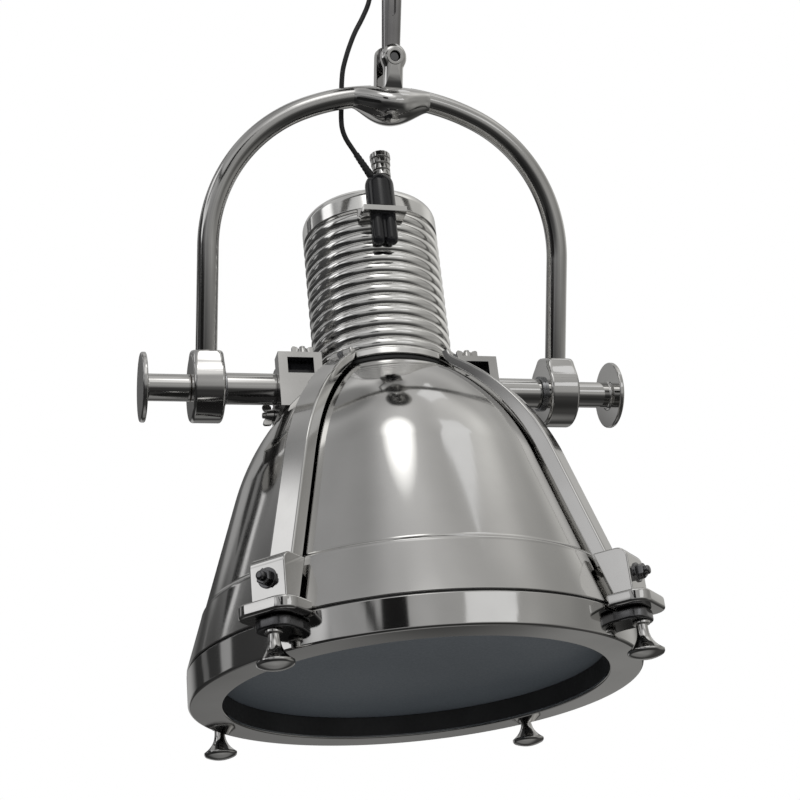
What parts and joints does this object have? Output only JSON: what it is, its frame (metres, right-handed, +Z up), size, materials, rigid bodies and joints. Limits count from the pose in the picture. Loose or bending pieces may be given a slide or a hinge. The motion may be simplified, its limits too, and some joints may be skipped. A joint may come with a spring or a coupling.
{
  "type": "pendant light",
  "caption": "Searchlight pendant in polished metal: bell head with ribbed cap tilts in an arched yoke, hung by a link from a ceiling canopy, with glass bezel and lock knobs.",
  "frame": {"origin": "middle of the ceiling plate's upper face, where the lamp meets the ceiling", "axes": "+Z up, +X along the tilt axis to the lamp's right as the picture shows it, -Y to the viewer"},
  "size_m": [0.4866, 0.4634, 0.8456],
  "materials": {
    "polished_metal": "mirror polished",
    "brushed_link": "worn steel",
    "dark_steel": "darkened steel",
    "zinc_plate": "zinc plated",
    "bronze": "sintered bronze",
    "black_rubber": "matt",
    "black_plastic": "gloss",
    "black_cord": "satin sheath",
    "white_ceramic": "glazed",
    "reflector_white": "satin white",
    "frosted_glass": "frosted"
  },
  "bodies": {
    "ceiling": {"ceiling_plate": "zinc_plate", "canopy": "polished_metal", "ring_nut": "polished_metal", "ceiling_fork": "polished_metal", "fork_pin": "dark_steel", "cord_bush": "black_rubber", "terminal_block": "white_ceramic", "cord_top": "black_cord"},
    "link": {"hanger_link": "brushed_link", "cord_mid": "black_cord"},
    "yoke": {"clevis": "polished_metal", "clevis_pin": "dark_steel", "yoke_hub": "polished_metal", "yoke_arm_left": "polished_metal", "yoke_arm_right": "polished_metal", "yoke_eye_left": "polished_metal", "yoke_eye_right": "polished_metal", "eye_bush_left": "bronze", "eye_bush_right": "bronze", "thrust_washers": "zinc_plate", "cord_low": "black_cord"},
    "head": {"trunnion_shaft_left": "polished_metal", "trunnion_shaft_right": "polished_metal", "trunnion_block_left": "polished_metal", "trunnion_block_right": "polished_metal", "wing_nuts": "polished_metal", "bell": "polished_metal", "cap": "polished_metal", "strap_front_right": "polished_metal", "strap_front_left": "polished_metal", "strap_rear_left": "polished_metal", "strap_rear_right": "polished_metal", "bezel": "polished_metal", "grip_bracket": "polished_metal", "grip_ring": "polished_metal", "bracket_screws": "polished_metal", "strap_bolts": "dark_steel", "foot_screws": "dark_steel", "glass_clips": "dark_steel", "holder_disc": "zinc_plate", "cap_seal": "black_rubber", "rim_gasket": "black_rubber", "lens_gasket": "black_rubber", "strain_relief": "black_rubber", "cord_grip": "black_plastic", "lampholder": "white_ceramic", "reflector": "reflector_white", "glass": "frosted_glass", "bulb": "frosted_glass"},
    "lock_knob_left": {"lock_knob_left": "polished_metal"},
    "lock_knob_right": {"lock_knob_right": "polished_metal"},
    "thumbscrew_front_right": {"thumbscrew_front_right": "polished_metal"},
    "thumbscrew_front_left": {"thumbscrew_front_left": "polished_metal"},
    "thumbscrew_rear_left": {"thumbscrew_rear_left": "polished_metal"},
    "thumbscrew_rear_right": {"thumbscrew_rear_right": "polished_metal"},
    "clamp_knob": {"clamp_knob": "polished_metal"}
  },
  "joints": [
    {"name": "link_swing", "type": "hinge", "parent": "ceiling", "child": "link", "pos_m": [0, 0, -0.056], "axis": [0, 1, 0], "range_deg": [-20, 20], "deforming": ["cord_top"]},
    {"name": "yoke_swing", "type": "hinge", "parent": "link", "child": "yoke", "pos_m": [0, 0, -0.148], "axis": [0, 1, 0], "range_deg": [-20, 20], "deforming": ["cord_mid"]},
    {"name": "head_tilt", "type": "hinge", "parent": "yoke", "child": "head", "pos_m": [0, 0, -0.48], "axis": [-1, 0, 0], "range_deg": [-25.5, 19.5], "deforming": ["cord_low"]},
    {"name": "lock_knob_left_turn", "type": "hinge", "parent": "head", "child": "lock_knob_left", "pos_m": [-0.2, 0, -0.48], "axis": [-1, 0, 0], "continuous": true},
    {"name": "lock_knob_right_turn", "type": "hinge", "parent": "head", "child": "lock_knob_right", "pos_m": [0.2, 0, -0.48], "axis": [1, 0, 0], "continuous": true},
    {"name": "thumbscrew_front_right_back_off", "type": "slide", "parent": "head", "child": "thumbscrew_front_right", "axis": [0, -0.4305, -0.9026], "range_m": [0, 0.014]},
    {"name": "thumbscrew_front_left_back_off", "type": "slide", "parent": "head", "child": "thumbscrew_front_left", "axis": [0, -0.4305, -0.9026], "range_m": [0, 0.014]},
    {"name": "thumbscrew_rear_left_back_off", "type": "slide", "parent": "head", "child": "thumbscrew_rear_left", "axis": [0, -0.4305, -0.9026], "range_m": [0, 0.014]},
    {"name": "thumbscrew_rear_right_back_off", "type": "slide", "parent": "head", "child": "thumbscrew_rear_right", "axis": [0, -0.4305, -0.9026], "range_m": [0, 0.014]},
    {"name": "clamp_knob_turn", "type": "hinge", "parent": "head", "child": "clamp_knob", "pos_m": [-0.003, 0.02041, -0.25486], "axis": [0, 0.4305, 0.9026], "continuous": true}
  ]
}
